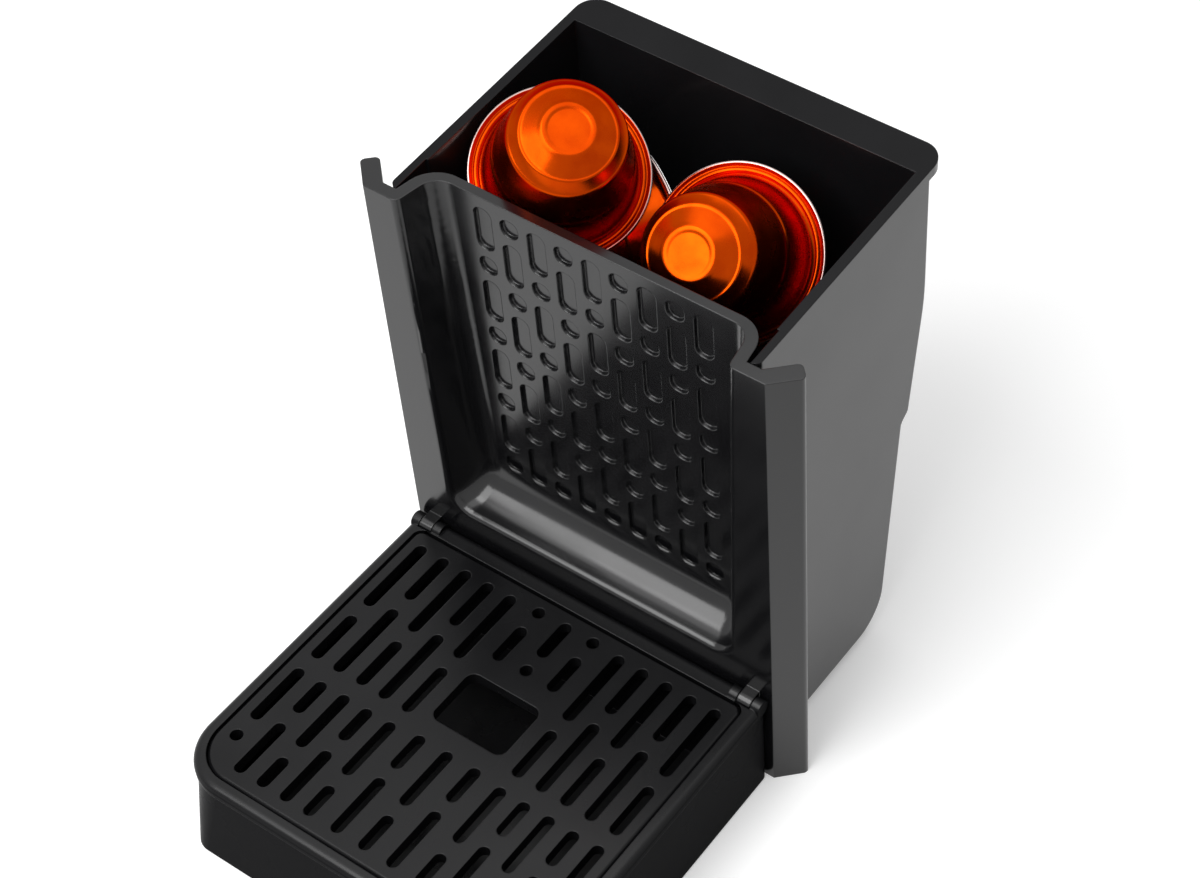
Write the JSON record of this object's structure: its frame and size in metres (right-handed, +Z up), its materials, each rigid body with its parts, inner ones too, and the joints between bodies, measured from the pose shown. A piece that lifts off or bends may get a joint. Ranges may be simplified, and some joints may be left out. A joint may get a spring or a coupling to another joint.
{
  "type": "used capsule bin",
  "caption": "Used capsule bin for a slim coffee machine, with a winged front panel, a fold-up drip tray with slotted grid, and spent capsules inside.",
  "frame": {"origin": "on the surface the unit stands on, in the middle of its footprint", "axes": "+X to the right seen from the front, +Y to the back, towards the machine, +Z up"},
  "size_m": [0.104, 0.1487, 0.1428],
  "materials": {
    "gloss_black": "gloss",
    "smoke_black": "semi-gloss",
    "satin_black": "satin",
    "steel": "bright",
    "pad_rubber": "matte",
    "orange_aluminium": "tinted satin metal",
    "foil": "bright foil",
    "grounds": "damp coffee grounds"
  },
  "bodies": {
    "carrier": {"front_panel": "gloss_black", "base_plate": "satin_black", "base_screws": "steel", "base_feet": "pad_rubber", "hinge_pin_left": "steel", "hinge_pin_right": "steel"},
    "bin": {"capsule_bin": "smoke_black", "capsule_lower_left_foil": "foil", "capsule_lower_left_grounds": "grounds", "capsule_lower_left_shell": "orange_aluminium", "capsule_lower_right_foil": "foil", "capsule_lower_right_grounds": "grounds", "capsule_lower_right_shell": "orange_aluminium", "capsule_middle_left_foil": "foil", "capsule_middle_left_grounds": "grounds", "capsule_middle_left_shell": "orange_aluminium", "capsule_middle_right_foil": "foil", "capsule_middle_right_grounds": "grounds", "capsule_middle_right_shell": "orange_aluminium", "capsule_under_foil": "foil", "capsule_under_grounds": "grounds", "capsule_under_shell": "orange_aluminium"},
    "tray": {"drip_tray": "satin_black", "tray_feet": "pad_rubber"},
    "grid": {"drip_grid": "satin_black"},
    "spent_left": {"capsule_left_foil": "foil", "capsule_left_grounds": "grounds", "capsule_left_shell": "orange_aluminium"},
    "spent_right": {"capsule_right_foil": "foil", "capsule_right_grounds": "grounds", "capsule_right_shell": "orange_aluminium"}
  },
  "joints": [
    {"name": "bin_lift", "type": "slide", "parent": "carrier", "child": "bin", "axis": [0, 0, 1], "range_m": [0, 0.13]},
    {"name": "tray_fold", "type": "hinge", "parent": "carrier", "child": "tray", "pos_m": [0, 0.00465, 0.0268], "axis": [-1, 0, 0], "range_deg": [0, 90]},
    {"name": "grid_lift", "type": "slide", "parent": "tray", "child": "grid", "axis": [0, 0, 1], "range_m": [0, 0.03]},
    {"name": "capsule_left_lift", "type": "slide", "parent": "bin", "child": "spent_left", "axis": [0, 0, 1], "range_m": [0, 0.05]},
    {"name": "capsule_right_lift", "type": "slide", "parent": "bin", "child": "spent_right", "axis": [0, 0, 1], "range_m": [0, 0.05]}
  ]
}
